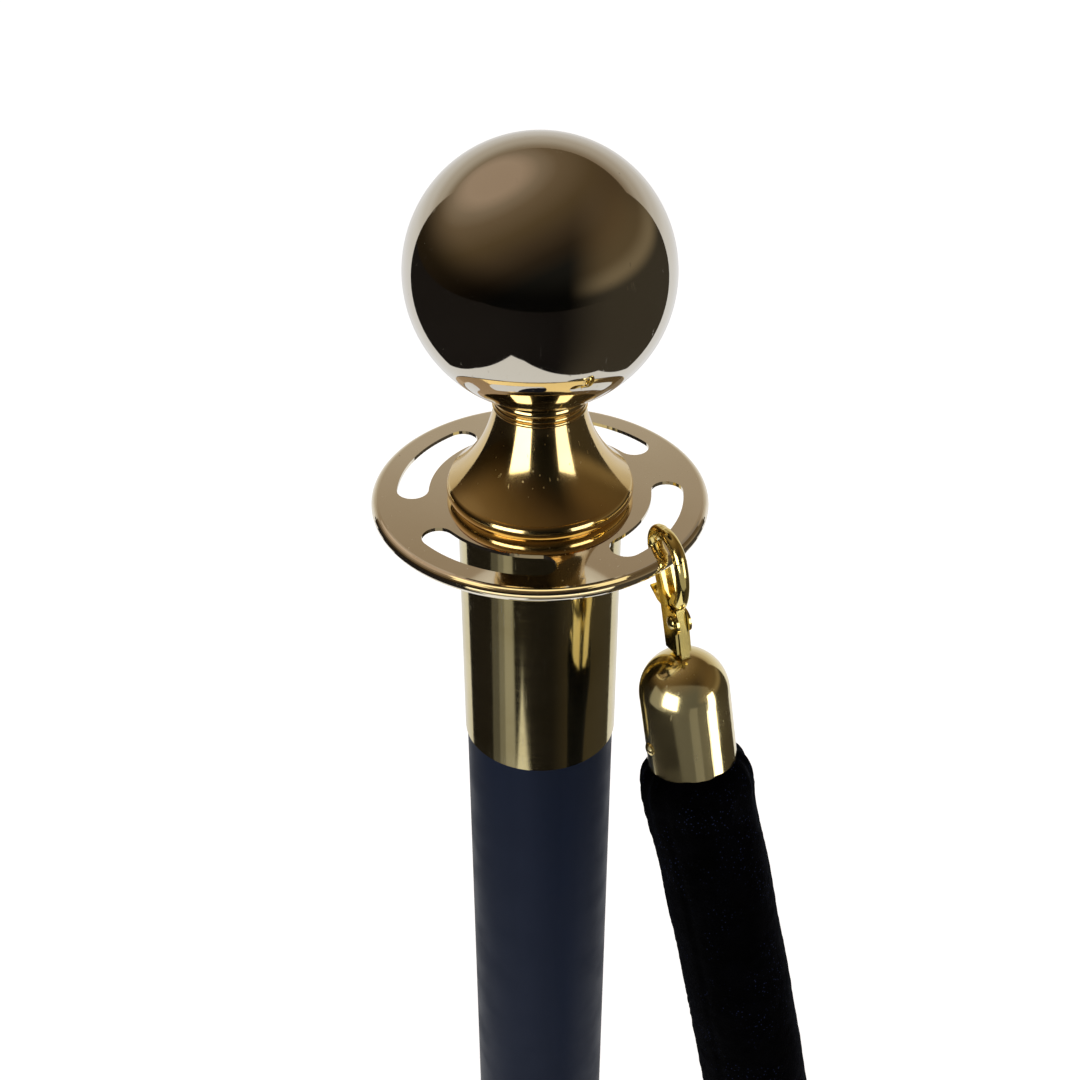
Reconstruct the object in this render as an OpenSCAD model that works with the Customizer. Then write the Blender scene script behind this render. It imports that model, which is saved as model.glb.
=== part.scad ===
// Rope barrier stanchion with a ball finial, a slotted rope ring and one velvet rope.
// The origin is at the middle of the base, on the floor; +Z is up.

/* [Post] */
// Height of the rope ring's top face above the floor
ring_z = 882; // [800:1:960]
// Outside diameter of the post tube
post_d = 50.8; // [48:0.1:52]
// Wall of the post tube
post_wall = 1.5; // [1:0.1:2.5]
// Length of the gold sleeve under the ring
sleeve_len = 95; // [60:1:200]
// Wall of the gold sleeve
sleeve_wall = 0.6; // [0.4:0.1:1]

/* [Rope ring] */
// Diameter of the rope ring
ring_d = 106; // [104:0.5:110]
// Thickness of its flat web
web_t = 1.2; // [1:0.1:1.6]
// Height of its rolled rim
rim_t = 4.5; // [4.5:0.1:5]
// Radius of the middle of the rope slots
slot_r = 40; // [38.5:0.1:40]
// Width of the rope slots
slot_w = 10; // [9:0.1:10.5]
// Sweep of each slot between the middles of its round ends
slot_sweep = 50; // [44:1:52]

/* [Finial] */
// Diameter of the ball
ball_d = 79.2; // [70:0.2:82]
// Height of the ball's middle above the ring
ball_z = 74.6; // [74.2:0.1:75]
// Height of the flared bell
bell_h = 31; // [30:0.5:32]
// Radius of the bell's concave flare
flare_r = 43.7; // [43:0.1:45]

/* [Base] */
// Diameter of the base
base_d = 320; // [300:2:330]
// Height of the middle of the domed cover
dome_h = 46; // [42:1:50]
// Sheet thickness of the cover
cover_t = 1.5; // [1:0.1:2]

/* [Rope end] */
// Outside diameter of the rope cap
cap_d = 28.5; // [28:0.1:29]
// Length of the cap's straight part, from dome centre to mouth
cap_l = 26; // [22:0.5:28]
// Wall of the cap
cap_wall = 0.9; // [0.6:0.1:1]
// Diameter of the hook's wire
wire_d = 4.1; // [3.6:0.1:4.2]
// Diameter of the velvet rope
rope_d = 36.4; // [34:0.2:37]

/* [Hidden] */
$fn = 96;

gold = [0.66, 0.53, 0.27];
bright_gold = [0.86, 0.70, 0.27];
satin_black = [0.10, 0.10, 0.13];
velvet = [0.03, 0.03, 0.035];
steel = [0.62, 0.63, 0.65];
iron = [0.25, 0.25, 0.26];
rubber = [0.07, 0.07, 0.07];

post_r = post_d / 2;
ring_r = ring_d / 2;
ball_r = ball_d / 2;
base_r = base_d / 2;
cap_r = cap_d / 2;
wire_r = wire_d / 2;

rod_r = 4.9;            // tie rod
rod_hole_r = 5.2;       // clearance hole for it
thread_r = 4.95;        // running fit of the finial on the rod
weight_z = 4;           // underside of the base weight
weight_r = base_r - 13;
boss_r = 60;            // raised middle of the weight
boss_z = 30;
seat_z = ring_z - web_t;    // underside of the ring's web, where the post ends
slot_starts = [-50, 40, 130, 220];

// Snap hook: x across the hook, y up its axis, from the middle of the cap's dome.
nose = [-8.7, 40];     // end of the nose
shank_t = 2.8;          // thickness of the flat shank
pivot = [2, 26.5];      // gate pivot
gate_in = 1.65;         // half the gap between the gate's cheeks
gate_out = 2.45;        // half its outside width
rivet_r = 1.2;

// Rope route, middle of the rope, from inside the near cap to inside the far cap
route = [
    [46.3, -40, 825], [49, -42.8, 807], [52, -46, 790], [57, -51.5, 770],
    [65.3, -60, 732], [74, -69, 689], [83.5, -78.5, 640], [97.5, -93, 560],
    [112, -108, 460], [124, -120.5, 360], [133, -130, 260], [139.5, -136.5, 180],
    [143, -140, 130], [145, -141.5, 98], [152.5, -134, 58.5], [160.5, -124, 42],
    [170, -110.5, 29.3], [179.5, -94.5, 21.5], [188, -75.5, 18.5], [196.5, -45, 18.5],
    [200.5, -9, 18.5], [198.5, 28, 18.5],
    [190, 65, 18.5], [173.5, 101, 18.5], [151, 132, 18.5], [123, 158.5, 18.5],
    [90, 179, 18.5], [54, 193, 18.5], [16, 199.5, 18.5], [-24, 198.5, 18.5],
    [-62, 190, 18.5], [-80, 183.2, 18.4], [-95.5, 175.7, 16.6], [-111.5, 167, 15.1]];

// Near cap: dome centre and directions. The rope leans out as it falls.
near_at = [45.1, -38.8, ring_z - 49.4];
near_lean_to = -46;
near_lean = 12;
near_twist = -20;
// Far cap, lying on the floor at the end of the rope
far_at = [-118.6, 163.1, 14.4];
far_heading = 208.6;
far_dip = 4.7;

function unit(v) = v / norm(v);
function tangent(p, i) = unit(p[min(i + 1, len(p) - 1)] - p[max(i - 1, 0)]);
function carried(n, t) = unit(n - (n * t) * t);
// One normal per route point, carried along without twist
function normals(p, n, i = 0) =
    i == len(p) ? [] :
    let (m = carried(n, tangent(p, i))) concat([m], normals(p, m, i + 1));
function ring_of(p, t, n, r, sides) =
    [for (k = [0 : sides - 1])
        p + r * (cos(360 * k / sides) * n + sin(360 * k / sides) * cross(t, n))];
function side_faces(i, sides) =
    [for (k = [0 : sides - 1])
        let (a = i * sides + k, b = i * sides + (k + 1) % sides)
        each [[a, b, b + sides], [a, b + sides, a + sides]]];

// A closed tube along p, with one radius per point
module swept_tube(p, radii, sides = 12) {
    n = normals(p, [1, 0, 0]);
    last = (len(p) - 1) * sides;
    polyhedron(
        points = [for (i = [0 : len(p) - 1])
            each ring_of(p[i], tangent(p, i), n[i], radii[i], sides)],
        faces = concat(
            [[for (k = [sides - 1 : -1 : 0]) k]],
            [for (i = [0 : len(p) - 2]) each side_faces(i, sides)],
            [[for (k = [0 : sides - 1]) last + k]]));
}

// A ring of rectangular section
module tube(r_out, r_in, z0, z1) {
    translate([0, 0, z0]) difference() {
        cylinder(r = r_out, h = z1 - z0);
        translate([0, 0, -1]) cylinder(r = r_in, h = z1 - z0 + 2);
    }
}

// Stands a drawing in x, y up in the x, z plane, t thick about y = 0
module upright(t, y = 0) {
    translate([0, y, 0]) rotate([90, 0, 0]) linear_extrude(t, center = true) children();
}

module place_near() {
    translate(near_at)
        rotate([0, 0, near_lean_to]) rotate([0, -near_lean, 0]) rotate([0, 0, near_twist])
            children();
}

module place_far() {
    translate(far_at)
        rotate([0, 0, far_heading]) rotate([0, 90 + far_dip, 0]) rotate([0, 0, -90])
            children();
}

/* ---- base ---- */

// Half section of the domed cover's outline, shrunk by t
module dome_section(t) {
    dome_r = 426.6;
    intersection() {
        translate([0, dome_h - dome_r]) circle(r = dome_r - t, $fn = 400);
        translate([0, 10]) square([base_r - 8, dome_h]);
    }
    translate([base_r - 8, 10]) circle(r = 8 - t);
    translate([0, 2]) square([base_r - t, 8]);
}

module floor_ring() {
    color(rubber) tube(base_r - cover_t - 0.1, base_r - 20, 0, weight_z);
}

module base_weight() {
    color(iron) difference() {
        union() {
            translate([0, 0, weight_z]) cylinder(r = weight_r, h = 12);
            translate([0, 0, weight_z]) cylinder(r = boss_r, h = boss_z - weight_z);
            translate([0, 0, boss_z]) cylinder(r = post_r - post_wall, h = 12);
        }
        translate([0, 0, -1]) cylinder(r = rod_hole_r, h = 60);
        translate([0, 0, weight_z - 1]) cylinder(r = 14, h = 11);
    }
}

module base_cover() {
    color(satin_black) rotate_extrude() difference() {
        intersection() {
            dome_section(0);
            square([base_r + 10, dome_h + 10]);
        }
        dome_section(cover_t);
        translate([-1, 0]) square([base_r - cover_t + 1, 3]);
        translate([-1, 0]) square([post_r + 1.1, dome_h + 10]);
    }
}

module base_collar() {
    z = dome_h - 0.7;
    color(satin_black) rotate_extrude() difference() {
        union() {
            translate([post_r, z]) square([7, 4]);
            translate([post_r + 4, z + 4]) circle(r = 3);
            translate([post_r, z]) square([4, 9]);
            translate([post_r + 1, z + 9]) circle(r = 3);
        }
        square([post_r, dome_h + 40]);
    }
}

module clamp_washer() {
    color(steel) tube(12, rod_r + 0.2, weight_z + 8.4, weight_z + 10);
}

module clamp_nut() {
    color(steel) translate([0, 0, weight_z + 0.4]) difference() {
        cylinder(r = 9.2, h = 8, $fn = 6);
        translate([0, 0, -1]) cylinder(r = rod_r, h = 10);
    }
}

/* ---- post ---- */

module post_tube() {
    color(satin_black) tube(post_r, post_r - post_wall, boss_z, seat_z);
}

module post_sleeve() {
    color(gold) tube(post_r + sleeve_wall, post_r, seat_z - sleeve_len, seat_z);
}

module top_plug() {
    color(steel) tube(post_r - post_wall, rod_hole_r, seat_z - 14, seat_z);
}

module tie_rod() {
    color(steel) translate([0, 0, weight_z - 1]) cylinder(r = rod_r, h = ring_z + 46 - weight_z);
}

/* ---- rope ring ---- */

// Points of an arc about c, from one angle to another
function arc(c, r, from, to, n = 6) =
    [for (i = [0 : n]) let (a = from + (to - from) * i / n) c + r * [cos(a), sin(a)]];

// Half section of the ring, its top face at y = 0
module ring_section() {
    roll = rim_t / 2;       // radius of the rolled rim
    meet = 180 - asin((roll - web_t) / roll);
    polygon(concat(
        [[rod_hole_r, 0], [rod_hole_r, -web_t]],
        arc([ring_r - roll, -roll], roll, meet, 450, 26)));
}

// One arc slot with round ends, cut through the web
module rope_slot(start) {
    end = start + slot_sweep;
    half = slot_w / 2;
    translate([0, 0, -10]) linear_extrude(20) polygon(concat(
        arc([0, 0], slot_r + half, start, end, 20),
        arc(slot_r * [cos(end), sin(end)], half, end + 12, end + 168, 12),
        arc([0, 0], slot_r - half, end, start, 20),
        arc(slot_r * [cos(start), sin(start)], half, start - 168, start - 12, 12)));
}

module ring_plate() {
    color(gold) translate([0, 0, ring_z]) difference() {
        rotate_extrude() ring_section();
        for (start = slot_starts) rope_slot(start);
    }
}

/* ---- finial, turning on the tie rod ---- */

module bell() {
    color(gold) translate([0, 0, ring_z]) difference() {
        rotate_extrude() {
            square([27.8, 5.5]);
            translate([26, 2.75]) intersection() {
                circle(r = 3.3);
                translate([0, -2.75]) square([4, 5.5]);
            }
            difference() {
                translate([0, 5.5]) square([28.4, bell_h - 5.5]);
                translate([57.25, 38.3]) circle(r = flare_r, $fn = 200);
            }
        }
        translate([0, 0, -1]) cylinder(r = thread_r, h = 60);
        translate([0, 0, -1]) cylinder(r = 21, h = 5);
    }
}

module neck_collar() {
    color(gold) translate([0, 0, ring_z]) rotate_extrude() {
        translate([thread_r, bell_h]) square([13.4 - thread_r, 37.6 - bell_h]);
        translate([13.2, 35.7]) circle(r = 1.9);
        translate([13.5, 33.1]) circle(r = 0.9);
        translate([13.9, 31.7]) circle(r = 0.65);
    }
}

module ball() {
    color(gold) translate([0, 0, ring_z]) difference() {
        translate([0, 0, ball_z]) sphere(r = ball_r);
        translate([0, 0, ball_z]) sphere(r = ball_r - 2.2);
        translate([-30, -30, 0]) cube([60, 60, 37.6]);
        cylinder(r = 9.9, h = 45);
    }
}

module finial_insert() {
    color(steel) translate([0, 0, ring_z + 37.6]) difference() {
        cylinder(r = 9.9, h = 16);
        translate([0, 0, -1]) cylinder(r = thread_r, h = 11);
    }
}

/* ---- snap hook and cap, drawn once and used at both ends of the rope ---- */

// Part of the hook's round wire: an arc in the hook's plane
module wire_arc(c, r, from, to) {
    translate([c[0], 0, c[1]]) rotate([90, 0, 0]) rotate([0, 0, from])
        rotate_extrude(angle = to - from) translate([r, 0]) circle(r = wire_r, $fn = 48);
}

// A bead that joins two lengths of the wire, which stop just short of its middle
module wire_joint(at) {
    translate([at[0], 0, at[1]]) sphere(r = wire_r + 0.06, $fn = 48);
}

module hook() {
    gap = 0.15;
    side = [nose[0], 48.5];     // middles of the wire's joints
    top_left = side + [6.6, 6.6];
    top_right = [0.5, top_left[1]];
    bend = top_right - [0, 7.6];    // middle of the bend at the back, and its end
    bend_end = bend + 7.6 * [cos(12), sin(12)];
    back = bend_end - 20 * [cos(12), sin(12)];
    // nose, with a round end
    translate([nose[0], 0, nose[1]]) sphere(r = wire_r, $fn = 48);
    translate([nose[0], 0, nose[1]])
        cylinder(r = wire_r, h = side[1] - nose[1] - gap, $fn = 48);
    wire_joint(side);
    wire_arc([top_left[0], side[1]], 6.6, 91.5, 178.5);
    wire_joint(top_left);
    translate([top_left[0] + gap, 0, top_left[1]]) rotate([0, 90, 0])
        cylinder(r = wire_r, h = top_right[0] - top_left[0] - 2 * gap, $fn = 48);
    wire_joint(top_right);
    wire_arc(bend, 7.6, 13.2, 88.8);
    wire_joint(bend_end);
    wire_arc(back, 20, -34, 11.5);
    // shank, down into the cap, with the seat of the spring cut in its side
    difference() {
        upright(shank_t)
            polygon([[-1.6, 5], [4.2, 5], [4.2, 31], [6.3, 33], [6.6, 35.4],
                     [3.1, 37], [0.4, 33.4], [-1.6, 31]]);
        translate([pivot[0], 0, pivot[1]]) rotate([90, 0, 0])
            cylinder(r = rivet_r, h = 10, center = true, $fn = 48);
        translate([1.3, 0, 9]) rotate([90, 0, 0])
            cylinder(r = 1, h = 10, center = true, $fn = 48);
        translate([-3, -shank_t, 20.2]) cube([3.4, 2 * shank_t, 4]);
    }
}

// Outline of the gate's cheeks, the spine along the left
module gate_outline() {
    polygon([[-4.2, 15.4], [3.4, 15.4], [3.8, 23], [2, 24], [2, 30.6], [-0.6, 31.2],
             [-2.8, 43], [-6.3, 43], [-4.2, 30.4]]);
    translate(pivot) circle(r = 4.1, $fn = 64);
}

module gate() {
    difference() {
        upright(2 * gate_out) gate_outline();
        // room between the cheeks, behind the spine
        upright(2 * gate_in)
            polygon([[-3.3, 14], [9, 14], [9, 33], [1.6, 44], [-5.5, 44], [-3.3, 30.6]]);
        translate([pivot[0], 0, pivot[1]]) rotate([90, 0, 0])
            cylinder(r = rivet_r + 0.05, h = 10, center = true, $fn = 48);
    }
    // thumb tab
    upright(2 * gate_out - 0.6)
        polygon([[-4, 29.6], [-4, 31], [-7, 31.8], [-10.6, 34.2], [-11.2, 33.4], [-7.2, 30.4]]);
}

module gate_rivet() {
    rotate([90, 0, 0]) translate([pivot[0], pivot[1], 0])
        cylinder(r = rivet_r, h = 2 * gate_out + 0.4, center = true, $fn = 48);
    for (s = [-1, 1]) translate([pivot[0], s * (gate_out + 0.2), pivot[1]])
        rotate([-90 * s, 0, 0]) intersection() {
            cylinder(r = 2.2, h = 1, $fn = 48);
            translate([0, 0, -2.2]) sphere(r = 3.2, $fn = 48);
        }
}

// Leaf spring, riveted inside the gate's spine, its end in the shank's seat
module gate_spring() {
    upright(2.8)
        polygon([[-3.3, 16.4], [-2.9, 16.4], [-2.9, 20.4], [-1, 21.8], [-0.8, 22.6],
                 [-1.3, 22.6], [-3.3, 21]]);
}

module cap() {
    difference() {
        union() {
            sphere(r = cap_r);
            translate([0, 0, -cap_l]) cylinder(r = cap_r, h = cap_l);
        }
        sphere(r = cap_r - cap_wall);
        translate([0, 0, -cap_l - 1]) cylinder(r = cap_r - cap_wall, h = cap_l + 1);
        translate([-1.7, -shank_t / 2 - 0.1, 5]) cube([6.1, shank_t + 0.2, 20]);
        translate([0, 0, -16.4]) rotate([90, 0, 0]) cylinder(r = 1.3, h = 40, center = true, $fn = 48);
    }
}

module cap_rivets() {
    for (s = [-1, 1]) translate([0, 0, -16.4]) rotate([-90 * s, 0, 0]) {
        translate([0, 0, cap_r - 3]) cylinder(r = 1.3, h = 3.2, $fn = 48);
        translate([0, 0, cap_r]) intersection() {
            cylinder(r = 2.1, h = 1.2, $fn = 48);
            translate([0, 0, -2]) sphere(r = 3.2, $fn = 48);
        }
    }
}

// Cross pin that keeps the shank in the cap
module hook_pin() {
    translate([1.3, 0, 9]) rotate([90, 0, 0]) cylinder(r = 1, h = 15, center = true, $fn = 48);
}

module near_hook() { color(bright_gold) place_near() hook(); }
module near_gate() { color(bright_gold) place_near() gate(); }
module near_gate_rivet() { color(bright_gold) place_near() gate_rivet(); }
module near_gate_spring() { color(steel) place_near() gate_spring(); }
module near_cap() { color(bright_gold) place_near() cap(); }
module near_cap_rivets() { color(bright_gold) place_near() cap_rivets(); }
module near_hook_pin() { color(steel) place_near() hook_pin(); }
module far_hook() { color(bright_gold) place_far() hook(); }
module far_gate() { color(bright_gold) place_far() gate(); }
module far_gate_rivet() { color(bright_gold) place_far() gate_rivet(); }
module far_gate_spring() { color(steel) place_far() gate_spring(); }
module far_cap() { color(bright_gold) place_far() cap(); }
module far_cap_rivets() { color(bright_gold) place_far() cap_rivets(); }
module far_hook_pin() { color(steel) place_far() hook_pin(); }

/* ---- rope ---- */

// The rope's ends are bound thin enough to enter the caps
module rope() {
    thin = cap_r - cap_wall - 0.3;
    last = len(route) - 1;
    color(velvet) swept_tube(route,
        [for (i = [0 : last]) i < 2 || i > last - 2 ? thin : rope_d / 2]);
}

floor_ring();
base_weight();
base_cover();
base_collar();
post_tube();
post_sleeve();
top_plug();
tie_rod();
clamp_nut();
clamp_washer();
ring_plate();
bell();
neck_collar();
ball();
finial_insert();
near_hook();
near_gate();
near_gate_rivet();
near_gate_spring();
near_cap();
near_cap_rivets();
near_hook_pin();
far_hook();
far_gate();
far_gate_rivet();
far_gate_spring();
far_cap();
far_cap_rivets();
far_hook_pin();
rope();
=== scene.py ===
"""Rope barrier stanchion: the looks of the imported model.

The finial, slotted ring plate, sleeve, post, base, hooks and rope caps are the CAD's own solids with new
materials. The velvet rope is modelled here, along the same route as its CAD solid. Lengths are in metres.
"""

import math

import bpy
import numpy as np
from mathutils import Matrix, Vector


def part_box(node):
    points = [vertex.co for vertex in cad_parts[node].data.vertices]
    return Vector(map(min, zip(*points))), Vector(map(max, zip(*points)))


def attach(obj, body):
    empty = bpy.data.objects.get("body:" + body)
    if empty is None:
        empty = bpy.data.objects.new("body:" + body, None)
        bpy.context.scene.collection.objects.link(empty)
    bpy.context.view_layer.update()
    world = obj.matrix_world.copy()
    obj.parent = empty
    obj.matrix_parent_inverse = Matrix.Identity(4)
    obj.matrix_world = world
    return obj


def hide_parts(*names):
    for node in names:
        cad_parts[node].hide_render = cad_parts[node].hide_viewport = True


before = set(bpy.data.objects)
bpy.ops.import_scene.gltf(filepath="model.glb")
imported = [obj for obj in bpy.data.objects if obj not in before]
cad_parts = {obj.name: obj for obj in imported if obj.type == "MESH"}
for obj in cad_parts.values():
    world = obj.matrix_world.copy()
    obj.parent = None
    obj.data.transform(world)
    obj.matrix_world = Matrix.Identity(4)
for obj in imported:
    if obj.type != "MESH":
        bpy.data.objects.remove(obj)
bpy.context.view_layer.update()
scene = bpy.context.scene
RING_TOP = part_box("ring_plate")[1][2]

# ---------------------------------------------------------------- camera
SENSOR_MM = 36
LENS_MM = 51.17
CAMERA_PITCH = 35.37  # degrees below the horizon
CAMERA_BACK = 0.4027  # distance in front of the post's axis
CAMERA_ABOVE_RING = 0.2666


def make_camera():
    data = bpy.data.cameras.new("Camera")
    data.sensor_width = SENSOR_MM
    data.lens = LENS_MM
    data.clip_start = 0.01
    camera = bpy.data.objects.new("Camera", data)
    scene.collection.objects.link(camera)
    camera.location = (0, -CAMERA_BACK, RING_TOP + CAMERA_ABOVE_RING)
    camera.rotation_euler = (math.radians(90 - CAMERA_PITCH), 0, 0)
    scene.camera = camera


make_camera()

# ---------------------------------------------------------------- rope
ROPE_RADIUS = 0.0182
ROPE_NECK = 0.0129  # radius inside the caps
RELIEF_ROOM = 0.0003  # kept free inside the full radius, for lumps and folds
IN_CAP = 0.018  # length of rope inside each cap
SHOULDER = 0.010  # length over which the rope swells to its full radius
SHOULDER_INSET = 0.001  # how far inside the cap's mouth the swelling starts
RELIEF_FADE = 0.012  # length outside the mouth over which the relief grows to its full height
GATHER_MIDDLE = 0.007  # distance outside the mouth
GATHER_SPREAD = 0.013
GATHER_HEIGHT = 0.00042
LUMP_HEIGHT = 0.00024  # uneven filling
LUMP_WAVES = (0.025, 0.11)  # shortest and longest
CRUSH_HEIGHT = 0.00007  # crushed pile
CRUSH_WAVES = (0.004, 0.010)
PILE_HEIGHT = 0.00012  # single tufts
SEAM_ANGLE = 2.2  # radians round the rope
SEAM_WIDTH = 0.0009
SEAM_DEPTH = 0.0006
LOWEST = 0.0004  # height of the flattened underside, where the rope lies on the floor
RING_STEP = 0.0015  # distance between the rings of the mesh
AROUND = 96  # points round each ring
ROPE_ROUTE = [
    (0.0463, -0.0400, 0.8250), (0.0490, -0.0428, 0.8070), (0.0520, -0.0460, 0.7900),
    (0.0570, -0.0515, 0.7700), (0.0653, -0.0600, 0.7320), (0.0740, -0.0690, 0.6890),
    (0.0835, -0.0785, 0.6400), (0.0975, -0.0930, 0.5600), (0.1120, -0.1080, 0.4600),
    (0.1240, -0.1205, 0.3600), (0.1330, -0.1300, 0.2600), (0.1395, -0.1365, 0.1800),
    (0.1430, -0.1400, 0.1300), (0.1450, -0.1415, 0.0980), (0.1525, -0.1340, 0.0585),
    (0.1605, -0.1240, 0.0420), (0.1700, -0.1105, 0.0293), (0.1795, -0.0945, 0.0215),
    (0.1880, -0.0755, 0.0185), (0.1965, -0.0450, 0.0185), (0.2005, -0.0090, 0.0185),
    (0.1985, 0.0280, 0.0185), (0.1900, 0.0650, 0.0185), (0.1735, 0.1010, 0.0185),
    (0.1510, 0.1320, 0.0185), (0.1230, 0.1585, 0.0185), (0.0900, 0.1790, 0.0185),
    (0.0540, 0.1930, 0.0185), (0.0160, 0.1995, 0.0185), (-0.0240, 0.1985, 0.0185),
    (-0.0620, 0.1900, 0.0185), (-0.0800, 0.1832, 0.0184), (-0.0955, 0.1757, 0.0166),
    (-0.1115, 0.1670, 0.0151),
]


def smooth_path(points, step):
    """Points about one step apart on a centripetal Catmull-Rom curve, and each one's length along it."""
    p = [np.array(q) for q in points]
    p = [2 * p[0] - p[1]] + p + [2 * p[-1] - p[-2]]
    fine = []
    for a, b, c, d in zip(p, p[1:], p[2:], p[3:]):
        t1 = np.linalg.norm(b - a) ** 0.5
        t2 = t1 + np.linalg.norm(c - b) ** 0.5
        t3 = t2 + np.linalg.norm(d - c) ** 0.5
        for t in np.linspace(t1, t2, 40, endpoint=False):
            ab = (a * (t1 - t) + b * t) / t1
            bc = (b * (t2 - t) + c * (t - t1)) / (t2 - t1)
            cd = (c * (t3 - t) + d * (t - t2)) / (t3 - t2)
            abc = (ab * (t2 - t) + bc * t) / t2
            bcd = (bc * (t3 - t) + cd * (t - t1)) / (t3 - t1)
            fine.append((abc * (t2 - t) + bcd * (t - t1)) / (t2 - t1))
    fine = np.array(fine + [p[-2]])
    along = np.concatenate([[0], np.cumsum(np.linalg.norm(np.diff(fine, axis=0), axis=1))])
    even = np.linspace(0, along[-1], int(along[-1] / step) + 1)
    return np.stack([np.interp(even, along, fine[:, k]) for k in range(3)], axis=1), even


def turning_frames(path):
    """Two unit normals at each point of the path, carried along it without twist."""
    tangent = np.gradient(path, axis=0)
    tangent /= np.linalg.norm(tangent, axis=1)[:, None]
    side = np.cross(tangent[0], (0, 1, 0))
    sides = []
    for t in tangent:
        side = side - t * np.dot(side, t)
        side = side / np.linalg.norm(side)
        sides.append(side)
    sides = np.array(sides)
    return sides, np.cross(tangent, sides)


def ripples(rng, s, angle, count, shortest, longest):
    """Smooth uneven relief of about unit height over the rope's length s and its angle."""
    total = np.zeros(np.broadcast(s, angle).shape)
    for _ in range(count):
        wave = rng.uniform(1 / longest, 1 / shortest)
        lean = rng.uniform(0, math.pi)
        turns = round(wave * math.sin(lean) * ROPE_RADIUS * 2 * math.pi)
        phase = rng.uniform(0, 2 * math.pi)
        total += np.sin(2 * math.pi * wave * math.cos(lean) * s + turns * angle + phase)
    return total / math.sqrt(count)


def rope_radius(s, angle):
    """Radius at each length and angle: necks in the caps, lumps, crushed pile, gathers, tufts and a seam."""
    rng = np.random.default_rng(7)
    from_mouth = (np.minimum(s, s[-1] - s) - IN_CAP)[:, None]
    outside = np.clip(from_mouth / RELIEF_FADE, 0, 1)
    shoulder = np.clip((from_mouth + SHOULDER_INSET) / SHOULDER, 0, 1)
    shoulder = np.sqrt(1 - (1 - shoulder) ** 2)
    radius = ROPE_NECK + (ROPE_RADIUS - RELIEF_ROOM - ROPE_NECK) * shoulder
    radius = radius + outside * LUMP_HEIGHT * ripples(rng, s[:, None], angle, 40, *LUMP_WAVES)
    radius = radius + outside * CRUSH_HEIGHT * ripples(rng, s[:, None], angle, 60, *CRUSH_WAVES)
    gathers = np.exp(-((from_mouth - GATHER_MIDDLE) / GATHER_SPREAD) ** 2) * (from_mouth > 0)
    fold = np.cos(11 * angle + 2.0 * np.sin(2 * angle)) + 0.5 * np.cos(17 * angle + 1)
    radius = radius + GATHER_HEIGHT * gathers * fold
    radius = radius + outside * rng.uniform(-PILE_HEIGHT, PILE_HEIGHT, (len(s), AROUND))
    from_seam = np.angle(np.exp(1j * (angle - SEAM_ANGLE))) * ROPE_RADIUS
    return radius - outside * SEAM_DEPTH * np.exp(-((from_seam / SEAM_WIDTH) ** 2))


def tube_faces(rings):
    """Quads between the rings, and triangles from the end rings to the two middle points after them."""
    faces = []
    last = (rings - 1) * AROUND
    for start in range(0, last, AROUND):
        for j in range(AROUND):
            k = (j + 1) % AROUND
            faces.append((start + j, start + k, start + AROUND + k, start + AROUND + j))
    for j in range(AROUND):
        k = (j + 1) % AROUND
        faces.append((k, j, rings * AROUND))
        faces.append((last + j, last + k, rings * AROUND + 1))
    return faces


def make_rope():
    """The velvet rope, which takes the place of the CAD's plain tube."""
    path, s = smooth_path(ROPE_ROUTE, RING_STEP)
    side, up = turning_frames(path)
    angle = np.linspace(0, 2 * math.pi, AROUND, endpoint=False)[None, :]
    outward = np.cos(angle)[..., None] * side[:, None, :] + np.sin(angle)[..., None] * up[:, None, :]
    points = path[:, None, :] + rope_radius(s, angle)[..., None] * outward
    points[..., 2] = np.maximum(points[..., 2], LOWEST)
    verts = points.reshape(-1, 3).tolist() + [path[0].tolist(), path[-1].tolist()]
    mesh = bpy.data.meshes.new("velvet_rope")
    mesh.from_pydata(verts, [], tube_faces(len(s)))
    mesh.shade_smooth()
    rope = bpy.data.objects.new("velvet_rope", mesh)
    scene.collection.objects.link(rope)
    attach(rope, "stanchion")
    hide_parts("rope")
    return rope


rope = make_rope()

# ---------------------------------------------------------------- materials


def rgb(r, g, b):
    return (r, g, b, 1.0)


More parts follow.
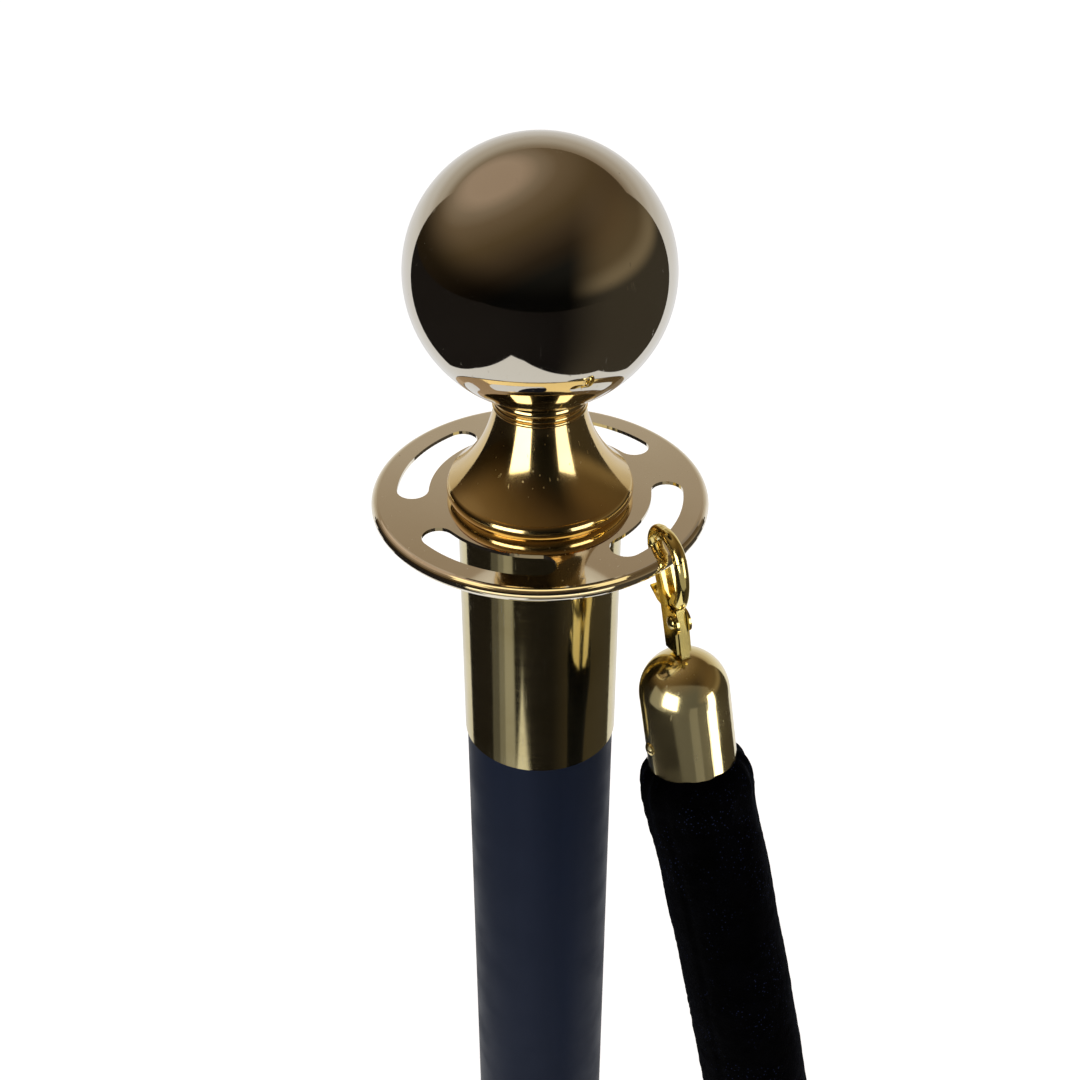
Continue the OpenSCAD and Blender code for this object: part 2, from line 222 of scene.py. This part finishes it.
class Look:
    """One material's node tree, with short calls for the nodes that it is built from."""

    def __init__(self, name, **constants):
        self.material = bpy.data.materials.new(name)
        self.material.use_nodes = True
        self.tree = self.material.node_tree
        self.shader = self.tree.nodes["Principled BSDF"]
        for key, value in constants.items():
            self.shader.inputs[key.replace("_", " ")].default_value = value
        self.place = self.add("ShaderNodeTexCoord").outputs["Object"]

    def add(self, kind, settings=(), **inputs):
        """A new node. Its inputs are given by name, or as _0, _1 and so on where names repeat."""
        node = self.tree.nodes.new(kind)
        for key, value in dict(settings).items():
            setattr(node, key, value)
        for key, value in inputs.items():
            socket = node.inputs[int(key[1:])] if key[0] == "_" else node.inputs[key.replace("_", " ")]
            if isinstance(value, bpy.types.NodeSocket):
                self.tree.links.new(value, socket)
            else:
                socket.default_value = value
        return node

    def stretched(self, scale, turn=(0, 0, 0)):
        """The object's coordinates, turned and scaled along each axis."""
        node = self.add("ShaderNodeMapping", Vector=self.place)
        node.inputs["Scale"].default_value = scale
        node.inputs["Rotation"].default_value = turn
        return node.outputs["Vector"]

    def noise(self, scale, detail=3.0, at=None):
        return self.add("ShaderNodeTexNoise", Vector=at or self.place, Scale=scale,
                        Detail=detail).outputs["Fac"]

    def between(self, value, low, high, to_low=0.0, to_high=1.0):
        """The value, eased from to_low at low to to_high at high."""
        return self.add("ShaderNodeMapRange", {"interpolation_type": "SMOOTHSTEP"}, Value=value,
                        From_Min=low, From_Max=high, To_Min=to_low, To_Max=to_high).outputs["Result"]

    def math(self, operation, a, b=0.0):
        return self.add("ShaderNodeMath", {"operation": operation}, _0=a, _1=b).outputs["Value"]

    def mix(self, factor, a, b):
        return self.add("ShaderNodeMix", {"data_type": "RGBA"}, _0=factor, _6=a, _7=b).outputs[2]

    def tones(self, value, first, second, low=0.35, high=0.7):
        """The first colour, going over to the second where the value is high."""
        return self.mix(self.between(value, low, high), rgb(*first), rgb(*second))

    def specks(self, scale, core, edge, patches):
        """Small round specks in cells of this scale, as a mask that stays inside the patches."""
        cells = self.add("ShaderNodeTexVoronoi", Vector=self.place, Scale=scale).outputs["Distance"]
        return self.math("MULTIPLY", self.between(cells, core, edge, 1.0, 0.0), patches)

    def hairlines(self, scale, length, turns, rare=0.74):
        """A mask of thin straight scratches in the directions that turns gives, fewer if rare is higher."""
        mask = None
        for turn in turns:
            lines = self.noise(scale, 1.0, self.stretched((1, 1, 1 / length), turn))
            lines = self.between(lines, rare, rare + 0.02)
            patches = self.between(self.noise(38, 1.0, self.stretched((1, 1, 1), turn)), 0.45, 0.6)
            lines = self.math("MULTIPLY", lines, patches)
            mask = lines if mask is None else self.math("MAXIMUM", mask, lines)
        return mask

    def finish(self, color, roughness, heights):
        """Joins the sockets to the shader. heights are (mask, metres) pairs of surface relief."""
        self.tree.links.new(color, self.shader.inputs["Base Color"])
        self.tree.links.new(roughness, self.shader.inputs["Roughness"])
        total = None
        for mask, metres in heights:
            part = self.math("MULTIPLY", mask, metres)
            total = part if total is None else self.math("ADD", total, part)
        bump = self.add("ShaderNodeBump", Height=total, Distance=1.0, Strength=1.0)
        self.tree.links.new(bump.outputs["Normal"], self.shader.inputs["Normal"])
        return self.material


def plated_gold(name, pale, deep, smooth, peel, coat=0.6):
    """Polished gold plate: cloudy lacquer, orange peel of the given height, hairlines and a few specks."""
    look = Look(name, Metallic=1.0, Coat_Weight=coat, Coat_Roughness=0.03, Coat_IOR=1.5)
    scratch = look.hairlines(900, 60, [(0.3, 0.2, 0), (1.2, 0.4, 0.5), (0.2, 1.3, 0.9)])
    speck = look.specks(160, 0.03, 0.06, look.between(look.noise(60, 0), 0.66, 0.70))
    color = look.tones(look.noise(24, 4), pale, deep)
    color = look.mix(speck, color, rgb(0.10, 0.07, 0.04))
    rough = look.between(look.noise(55, 5), 0.3, 0.75, smooth, smooth * 1.9)
    rough = look.math("ADD", rough, look.math("MULTIPLY", scratch, 0.22))
    return look.finish(color, rough, [(look.noise(420, 2), peel), (scratch, 4e-6), (speck, 2e-5)])


def sleeve_gold():
    """Polished gold tube with fine turning marks round it and short scratches, most of them slanting."""
    look = Look("sleeve_gold", Metallic=1.0)
    turned = look.noise(1.0, 4, look.stretched((30, 30, 5200)))
    scratch = look.hairlines(3400, 22, [(0.1, 0.9, 0), (0.2, -0.5, 0.3), (-0.2, 1.35, 0.6)], 0.71)
    scratch = look.math("MULTIPLY", scratch, 0.6)
    color = look.tones(look.noise(34, 4), (0.74, 0.63, 0.33), (0.64, 0.53, 0.25))
    color = look.mix(scratch, color, rgb(0.72, 0.67, 0.50))
    rough = look.between(turned, 0.3, 0.7, 0.06, 0.13)
    rough = look.math("ADD", rough, look.math("MULTIPLY", scratch, 0.2))
    return look.finish(color, rough, [(turned, 3.2e-6), (scratch, 3e-6)])


def satin_black(name, shine):
    """Satin powder coat, navy black, with fine grain, faint streaks and dust. shine is its specular."""
    look = Look(name, Metallic=0.0, Specular_IOR_Level=shine)
    streak = look.noise(1.0, 3, look.stretched((90, 90, 6)))
    dust = look.specks(240, 0.02, 0.05, look.between(look.noise(90, 1), 0.60, 0.66))
    color = look.tones(streak, (0.0120, 0.0200, 0.0470), (0.0135, 0.0220, 0.0510))
    color = look.mix(dust, color, rgb(0.05, 0.055, 0.07))
    rough = look.between(look.noise(70, 4), 0.3, 0.75, 0.36, 0.48)
    return look.finish(color, rough, [(look.noise(2600, 3), 1.6e-5)])


def velvet():
    """Black velvet: short pile with a blue sheen, uneven nap and specks of lint."""
    look = Look("velvet", Metallic=0.0, Specular_IOR_Level=0.05, Sheen_Weight=0.035,
                Sheen_Roughness=0.35, Sheen_Tint=rgb(0.25, 0.35, 0.75))
    pile = look.noise(1500, 3)
    nap = look.noise(110, 5)
    lint = look.specks(850, 0.12, 0.26, look.between(look.noise(75, 3), 0.46, 0.62))
    color = look.tones(nap, (0.0003, 0.0003, 0.0006), (0.0008, 0.0009, 0.0020), high=0.75)
    color = look.mix(look.math("MULTIPLY", lint, 0.8), color, rgb(0.018, 0.026, 0.070))
    rough = look.between(pile, 0.3, 0.7, 0.85, 1.0)
    return look.finish(color, rough, [(pile, 2.5e-4), (nap, 4e-4)])


def bright_steel():
    """Zinc-plated steel: even grey with drawing marks and a faint yellow passivate."""
    look = Look("bright_steel", Metallic=1.0)
    drawn = look.noise(1.0, 4, look.stretched((900, 900, 40)))
    color = look.tones(look.noise(60, 4), (0.62, 0.62, 0.60), (0.55, 0.52, 0.42))
    rough = look.between(drawn, 0.3, 0.7, 0.22, 0.38)
    return look.finish(color, rough, [(drawn, 6e-6)])


def cast_iron():
    """Cast iron: sandy grey surface with patches of rust."""
    look = Look("cast_iron", Metallic=0.75)
    sand = look.noise(900, 6)
    rust = look.between(look.noise(45, 6), 0.55, 0.72)
    color = look.tones(sand, (0.075, 0.073, 0.070), (0.13, 0.125, 0.12), low=0.3)
    color = look.mix(rust, color, rgb(0.16, 0.065, 0.03))
    rough = look.between(sand, 0.3, 0.7, 0.55, 0.8)
    return look.finish(color, rough, [(sand, 1.8e-4)])


def black_rubber():
    """Moulded rubber: matt black with a fine tooth and pale scuffs."""
    look = Look("black_rubber", Metallic=0.0, Specular_IOR_Level=0.35)
    tooth = look.noise(1800, 4)
    color = look.tones(look.noise(80, 6), (0.012, 0.012, 0.013), (0.045, 0.043, 0.04), 0.58, 0.75)
    rough = look.between(tooth, 0.3, 0.7, 0.6, 0.85)
    return look.finish(color, rough, [(tooth, 4e-5)])


BELL = ["bell", "neck_collar"]


def both_ends(*pieces):
    """The names of these pieces at the rope's near end and at its far end."""
    return [end + piece for end in ("near_", "far_") for piece in pieces]


def dress():
    """Gives the rope and every CAD node its material."""
    looks = {
        plated_gold("ball_gold", (0.70, 0.65, 0.54), (0.66, 0.60, 0.49), 0.03, 1.0e-6): ["ball"],
        plated_gold("bell_gold", (0.80, 0.59, 0.26), (0.73, 0.52, 0.20), 0.075, 1.5e-6, 0.3): BELL,
        plated_gold("ring_gold", (0.97, 0.88, 0.70), (0.92, 0.82, 0.63), 0.05, 1.2e-6): ["ring_plate"],
        plated_gold("hook_gold", (1.0, 0.81, 0.29), (0.97, 0.74, 0.21), 0.085, 7e-6):
            both_ends("hook", "gate", "gate_rivet"),
        plated_gold("cap_gold", (0.92, 0.77, 0.38), (0.87, 0.70, 0.31), 0.11, 7e-6):
            both_ends("cap", "cap_rivets"),
        sleeve_gold(): ["post_sleeve"],
        bright_steel(): ["tie_rod", "clamp_nut", "clamp_washer", "finial_insert", "top_plug"]
        + both_ends("gate_spring", "hook_pin"),
        cast_iron(): ["base_weight"],
        black_rubber(): ["floor_ring"],
        satin_black("post_black", 0.06): ["post_tube"],
        satin_black("base_black", 0.35): ["base_cover", "base_collar"],
    }
    rope.data.materials.append(velvet())
    for material, names in looks.items():
        for name in names:
            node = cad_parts[name]
            if not node.material_slots:
                node.data.materials.append(material)
            for place in node.material_slots:
                place.material = material


dress()

# ---------------------------------------------------------------- studio
HOOK = ["near_hook", "near_gate", "near_gate_rivet"]
CAP = ["near_cap", "near_cap_rivets"]
SLEEVE = ["post_sleeve"]
PLATE = ["ring_plate"]
WHITE = (0.80, 0.80, 0.81)
BACKGROUND = 1.2  # bright enough that what the camera sees past the floor is pure white
STAGE_HALF = 9.0  # half the floor's width
WALL_HALF = 2.46
WALL_Y = 2.0
WALL_TOP = 2.5
PAPER_LEFT = [(-0.44, -0.88), (-0.62, -0.10), (-0.66, 0.45)]  # the white paper's edges, from the front
PAPER_RIGHT = [(-0.22, -0.80), (0.56, -0.14), (0.62, 0.45)]
# The floor's glow by distance from the post: dimmer close to it as painted shade round the base, brighter
# white further out
FLOOR_GLOW_PAINTED_SHADE = [(0.15, (0.80, 0.80, 0.80)), (0.75, (0.93, 0.93, 0.93))]
FLOOR_FADE = 1.5  # distance over which the floor takes these tones
DARK_TONES = [(0.0, (0.013, 0.011, 0.010)), (0.62, (0.0085, 0.0072, 0.0068)), (0.95, (0.050, 0.042, 0.030))]
WALL_TONES = [(0.0, WHITE), (0.23, (0.75, 0.74, 0.73)), (0.47, (0.63, 0.60, 0.56)),
              (0.70, (0.48, 0.43, 0.36)), (1.0, (0.27, 0.21, 0.145))]
BRIGHT_CORNER = (-0.45, 0.40, 0.80)  # the direction in which the room's ceiling is brightest
DARK_BELOW = [(0.50, (0.2, 0.2, 0.2)), (0.76, (1, 1, 1))]  # share of the ceiling's light, by height
RIGHT_SHARE = [(0.68, (0, 0, 0)), (0.96, (1, 1, 1))]  # share of the right side's tones, towards +X
CEILING_TONES = [(0.45, (0.012, 0.0115, 0.010)), (0.57, (0.029, 0.020, 0.012)), (0.68, (0.064, 0.043, 0.024)),
                 (0.79, (0.106, 0.072, 0.036)), (0.90, (0.175, 0.125, 0.075)), (0.945, (0.26, 0.20, 0.14)),
                 (0.98, (0.42, 0.32, 0.24))]
RIGHT_TONES = [(0.49, (0.050, 0.042, 0.030)), (0.58, (0.20, 0.155, 0.095)), (0.68, (0.12, 0.085, 0.045)),
               (0.82, (0.125, 0.083, 0.042)), (1.0, (0.175, 0.125, 0.075))]


def stage_plane(name, corners, albedo=0.0):
    """A flat sheet of the studio that glows white. It also takes light and shadow if it has an albedo."""
    mesh = bpy.data.meshes.new(name)
    mesh.from_pydata(corners, [], [tuple(range(len(corners)))])
    sheet = bpy.data.objects.new(name, mesh)
    scene.collection.objects.link(sheet)
    material = bpy.data.materials.new(name)
    material.use_nodes = True
    shader = material.node_tree.nodes["Principled BSDF"]
    shader.inputs["Base Color"].default_value = rgb(albedo, albedo, albedo)
    shader.inputs["Roughness"].default_value = 0.9
    shader.inputs["Specular IOR Level"].default_value = 0.1 if albedo else 0.0
    shader.inputs["Emission Color"].default_value = rgb(*WHITE)
    shader.inputs["Emission Strength"].default_value = 1.0
    mesh.materials.append(material)
    return sheet


def level_square(half, z):
    return [(-half, -half, z), (half, -half, z), (half, half, z), (-half, half, z)]


def in_reflections_only(sheet):
    sheet.visible_camera = False
    sheet.visible_diffuse = False
    sheet.visible_shadow = False
    sheet.visible_transmission = False


def color_ramp(tree, value, low, high, stops, how="EASE"):
    """A socket with the stops' colours spread from low to high of the value."""
    spread = tree.nodes.new("ShaderNodeMapRange")
    spread.inputs["From Min"].default_value = low
    spread.inputs["From Max"].default_value = high
    tree.links.new(value, spread.inputs["Value"])
    node = tree.nodes.new("ShaderNodeValToRGB")
    node.color_ramp.interpolation = how
    tree.links.new(spread.outputs["Result"], node.inputs["Fac"])
    elements = node.color_ramp.elements
    while len(elements) < len(stops):
        elements.new(0.5)
    for element, (at, color) in zip(elements, stops):
        element.position = at
        element.color = rgb(*color)
    return node.outputs["Color"]


def mix_color(tree, factor, a, b):
    node = tree.nodes.new("ShaderNodeMix")
    node.data_type = "RGBA"
    for socket, value in ((node.inputs[0], factor), (node.inputs[6], a), (node.inputs[7], b)):
        if isinstance(value, bpy.types.NodeSocket):
            tree.links.new(value, socket)
        else:
            socket.default_value = value
    return node.outputs[2]


def shade_by(sheet, measure, low, high, stops):
    """Gives a studio sheet the stops' colours by its height Z, distance from the post or bearing."""
    tree = sheet.data.materials[0].node_tree
    value = tree.nodes.new("ShaderNodeTexCoord").outputs["Object"]
    if measure in ("distance", "bearing"):
        vector = tree.nodes.new("ShaderNodeVectorMath")
        vector.operation = "LENGTH" if measure == "distance" else "NORMALIZE"
        tree.links.new(value, vector.inputs[0])
        value = vector.outputs["Value" if measure == "distance" else "Vector"]
    if measure != "distance":
        split = tree.nodes.new("ShaderNodeSeparateXYZ")
        tree.links.new(value, split.inputs[0])
        value = split.outputs["X" if measure == "bearing" else measure]
    shade = color_ramp(tree, value, low, high, stops)
    tree.links.new(shade, tree.nodes["Principled BSDF"].inputs["Emission Color"])


def make_floor():
    """A white floor that glows, dimmer near the post as painted shade round the base and brighter further
    out. Reflections see a sheet of white paper there, with the dark room round it.
    """
    floor = stage_plane("Floor", level_square(STAGE_HALF, 0), 0.75)
    # painted shade: the floor glows less near the post
    shade_by(floor, "distance", 0, FLOOR_FADE, FLOOR_GLOW_PAINTED_SHADE)
    in_reflections_only(stage_plane("Paper", level_square(STAGE_HALF, 0.001)))
    back = [(WALL_HALF, WALL_Y), (WALL_HALF, STAGE_HALF), (STAGE_HALF, STAGE_HALF)]
    far_left = (-STAGE_HALF, PAPER_LEFT[0][1])
    far_right = (STAGE_HALF, PAPER_RIGHT[0][1])
    outlines = {
        "left": PAPER_LEFT + [(-x, y) for x, y in back] + [far_left],
        "right": PAPER_RIGHT + back + [far_right],
        "front": [(-STAGE_HALF, -STAGE_HALF), far_left, PAPER_LEFT[0], PAPER_RIGHT[0], far_right,
                  (STAGE_HALF, -STAGE_HALF)]}
    for name, outline in outlines.items():
        sheet = stage_plane("Dark_" + name, [(x, y, 0.002) for x, y in outline])
        shade_by(sheet, "bearing", -1, 1, DARK_TONES)
        in_reflections_only(sheet)


def make_wall():
    """The wall behind, white near the floor and tan higher up, seen in reflections only."""
    corners = [(x, WALL_Y, z) for x, z in (
        (-WALL_HALF, 0), (WALL_HALF, 0), (WALL_HALF, WALL_TOP), (-WALL_HALF, WALL_TOP))]
    wall = stage_plane("Wall", corners)
    shade_by(wall, "Z", 0, WALL_TOP, WALL_TONES)
    in_reflections_only(wall)


def make_world():
    """A dim room with a tan ceiling for the reflections, and white where the camera looks past the floor."""
    world = bpy.data.worlds.new("Studio")
    scene.world = world
    world.use_nodes = True
    tree = world.node_tree
    toward = tree.nodes.new("ShaderNodeTexCoord").outputs["Generated"]
    split = tree.nodes.new("ShaderNodeSeparateXYZ")
    tree.links.new(toward, split.inputs[0])
    corner = tree.nodes.new("ShaderNodeVectorMath")
    corner.operation = "DOT_PRODUCT"
    corner.inputs[1].default_value = BRIGHT_CORNER
    tree.links.new(toward, corner.inputs[0])
    left = color_ramp(tree, corner.outputs["Value"], -1, 1, CEILING_TONES, "LINEAR")
    right = color_ramp(tree, split.outputs["Z"], -1, 1, RIGHT_TONES)
    low = color_ramp(tree, split.outputs["Z"], -1, 1, DARK_BELOW)
    left = mix_color(tree, low, rgb(0, 0, 0), left)
    side = color_ramp(tree, split.outputs["X"], -1, 1, RIGHT_SHARE)
    room = mix_color(tree, side, left, right)
    seen = tree.nodes.new("ShaderNodeLightPath").outputs["Is Camera Ray"]
    color = mix_color(tree, seen, room, rgb(BACKGROUND, BACKGROUND, BACKGROUND))
    tree.links.new(color, tree.nodes["Background"].inputs["Color"])


def soft_box(name, at, size, watts, mirrored_by=(), tint=(1, 1, 1)):
    """An area light aimed at the ring. One with nodes named lights only those, which mirror its shape.
    The others light everything, and nothing mirrors them."""
    data = bpy.data.lights.new(name, "AREA")
    data.shape = "RECTANGLE"
    data.size, data.size_y = size
    data.energy = watts
    data.color = tint
    light = bpy.data.objects.new(name, data)
    scene.collection.objects.link(light)
    light.location = at
    aim = Vector((0, 0, RING_TOP)) - Vector(at)
    light.rotation_euler = aim.to_track_quat("-Z", "Y").to_euler()
    light.visible_glossy = bool(mirrored_by)
    light.visible_camera = False
    if mirrored_by:
        lit = bpy.data.collections.new(name + "_lit")
        for node in mirrored_by:
            lit.objects.link(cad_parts[node])
        light.light_linking.receiver_collection = lit


make_floor()
make_wall()
make_world()
soft_box("Overhead", (0.2, 0.3, 2.9), (2.0, 2.0), 14)
soft_box("Fill_left", (-2.2, -1.0, 1.6), (1.4, 1.4), 6)
soft_box("Fill_right", (2.2, -0.8, 1.5), (1.4, 1.4), 6)
soft_box("Window_left", (-1.15, -1.55, 0.95), (1.25, 1.3), 20, BELL + HOOK + CAP)
soft_box("Window_right", (1.50, -1.30, 0.95), (0.95, 1.3), 10, BELL + HOOK)
soft_box("Window_side", (1.21, -0.63, 0.55), (0.45, 1.25), 6, CAP)
soft_box("Cap_wide", (0.0, -1.10, 1.00), (4.6, 2.2), 3.0, CAP)
soft_box("Cap_left", (-1.5, -0.60, 0.55), (1.3, 1.5), 1.5, CAP)
soft_box("Cap_low", (0.5, -1.5, 0.30), (0.5, 0.8), 0.12, CAP)
soft_box("Hook_glow", (0.1, -1.2, 0.45), (2.6, 1.0), 2.4, HOOK)
soft_box("Low_wide", (-0.58, -0.40, 0.246), (0.46, 0.40), 0.05, SLEEVE)
soft_box("Low_mid", (-0.53, -0.455, 0.246), (0.30, 0.40), 0.04, SLEEVE)
soft_box("Low_narrow", (-0.50, -0.49, 0.246), (0.17, 0.40), 0.03, SLEEVE)
soft_box("Rim_strip", (0, -1.7, 0.66), (3.4, 0.45), 5, PLATE, (1.0, 0.88, 0.60))
soft_box("Rim_low", (0, -1.25, 0.35), (2.6, 0.8), 1.7, PLATE, (1.0, 0.88, 0.62))
soft_box("Rim_top", (0, -0.35, 2.9), (3.2, 1.1), 11, PLATE, (1.0, 0.84, 0.45))
soft_box("Plate_glow", (0, 2.2, 2.45), (4.0, 2.0), 2.6, PLATE)
scene.view_settings.view_transform = "Standard"
